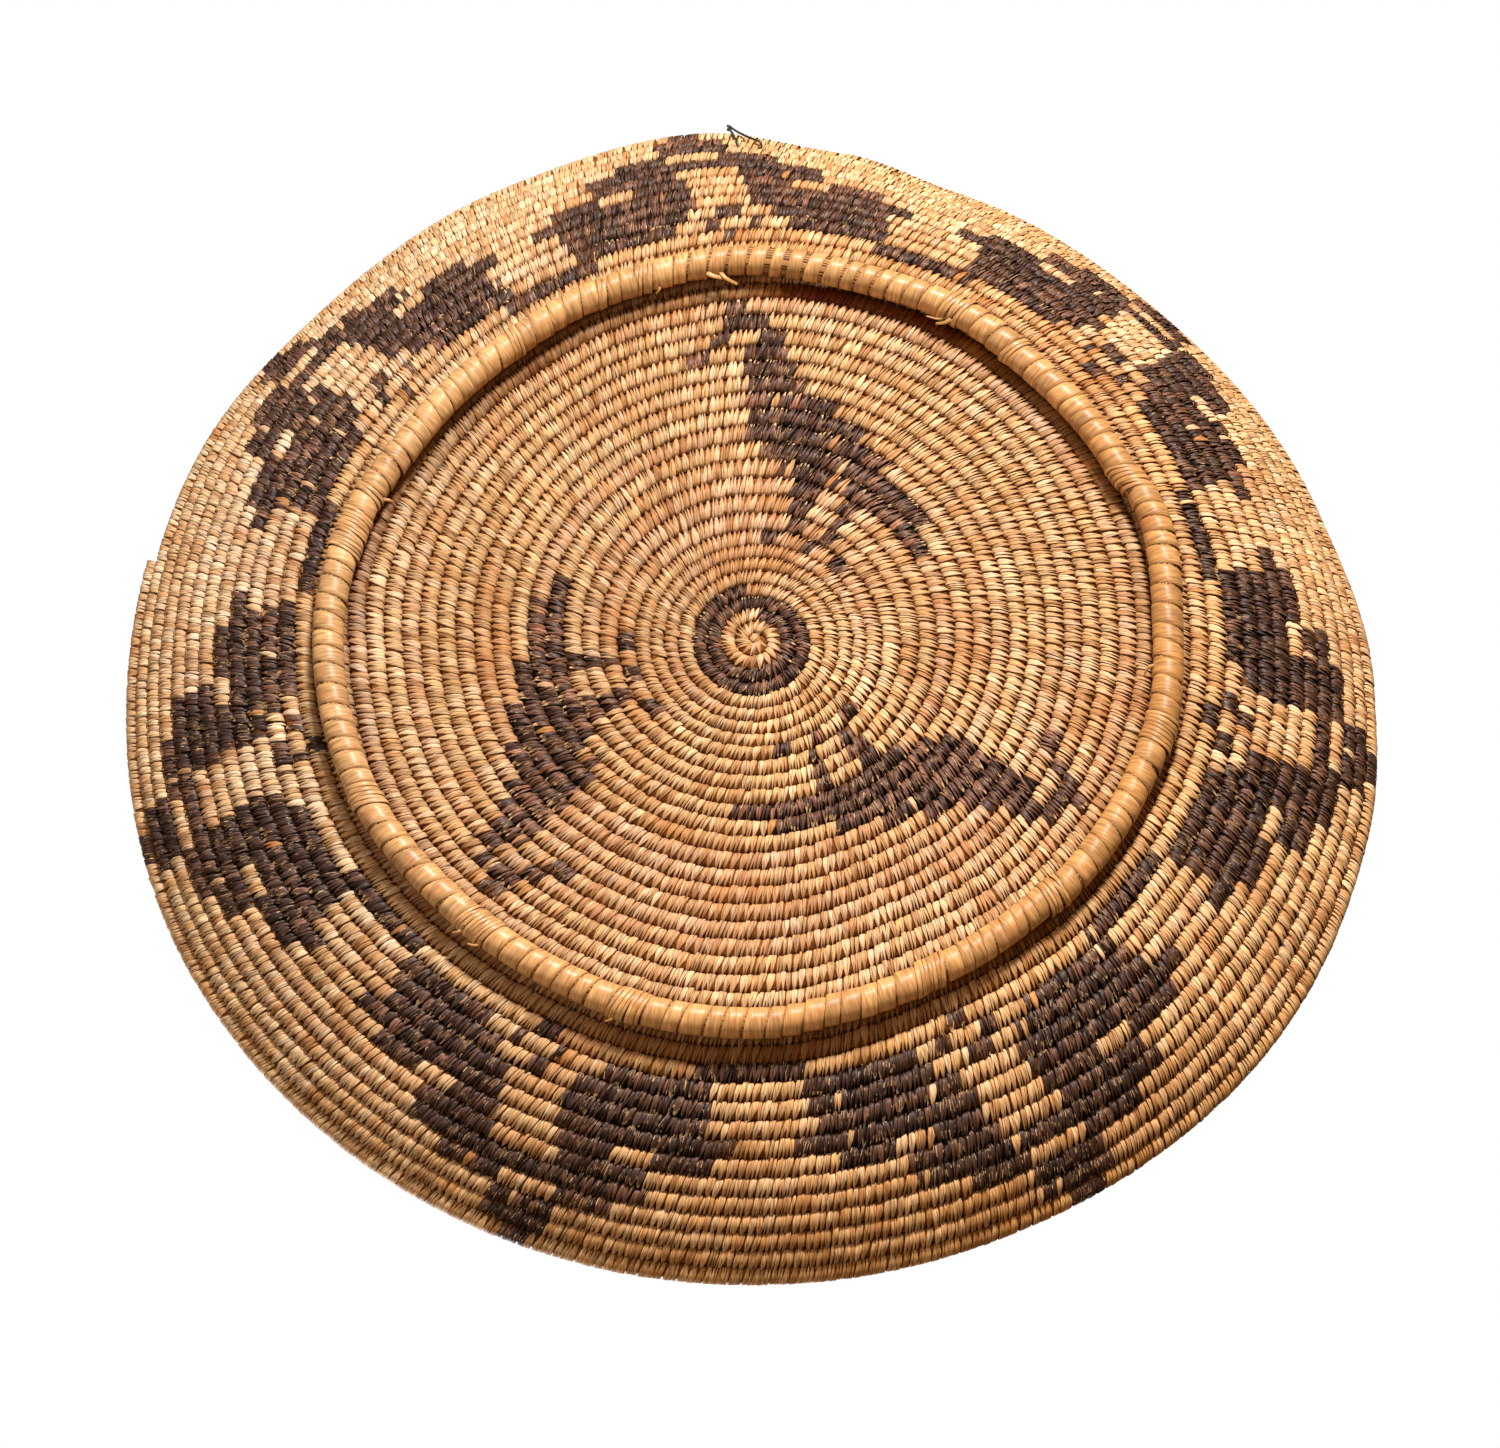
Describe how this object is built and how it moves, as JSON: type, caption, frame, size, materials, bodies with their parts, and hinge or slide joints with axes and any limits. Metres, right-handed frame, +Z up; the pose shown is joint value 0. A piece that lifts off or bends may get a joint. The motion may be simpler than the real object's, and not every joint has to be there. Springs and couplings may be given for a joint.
{
  "type": "coiled figural basket",
  "caption": "Shallow round coiled basket with a curved wall, a wrapped foot ring under its base and a wire tied over the rim for hanging.",
  "frame": {"origin": "bottom centre of the bounding box, on the surface that the foot ring stands on", "axes": "+Z up out of the mouth, square to the foot; +Y points to the side that carries the wire for hanging"},
  "size_m": [0.3415, 0.3466, 0.0483],
  "materials": {
    "straw_splint": "satin split fibre",
    "dark_splint": "satin dyed fibre",
    "glossy_cane": "glossy flat splint",
    "core_fibre": "dry fibre bundle",
    "iron_wire": "dull dark wire"
  },
  "bodies": {
    "root": {"center_knot": "straw_splint", "start_coil": "straw_splint", "eye_ring_coil": "dark_splint", "base_coil": "straw_splint", "lower_wall_coil": "straw_splint", "upper_wall_coil": "straw_splint", "rim_coil": "straw_splint", "foot_ring_core": "core_fibre", "foot_wrap_01": "glossy_cane", "foot_wrap_02": "glossy_cane", "foot_wrap_03": "glossy_cane", "foot_wrap_04": "glossy_cane", "foot_wrap_05": "glossy_cane", "foot_wrap_06": "glossy_cane", "foot_wrap_07": "glossy_cane", "foot_wrap_08": "glossy_cane", "foot_wrap_09": "glossy_cane", "foot_wrap_10": "glossy_cane", "foot_lashing_01": "glossy_cane", "foot_lashing_02": "glossy_cane", "foot_lashing_03": "glossy_cane", "foot_lashing_04": "glossy_cane", "foot_lashing_05": "glossy_cane", "foot_lashing_06": "glossy_cane", "foot_lashing_07": "glossy_cane", "foot_lashing_08": "glossy_cane", "foot_lashing_09": "glossy_cane", "foot_lashing_10": "glossy_cane", "hanger_wire": "iron_wire"}
  },
  "joints": []
}
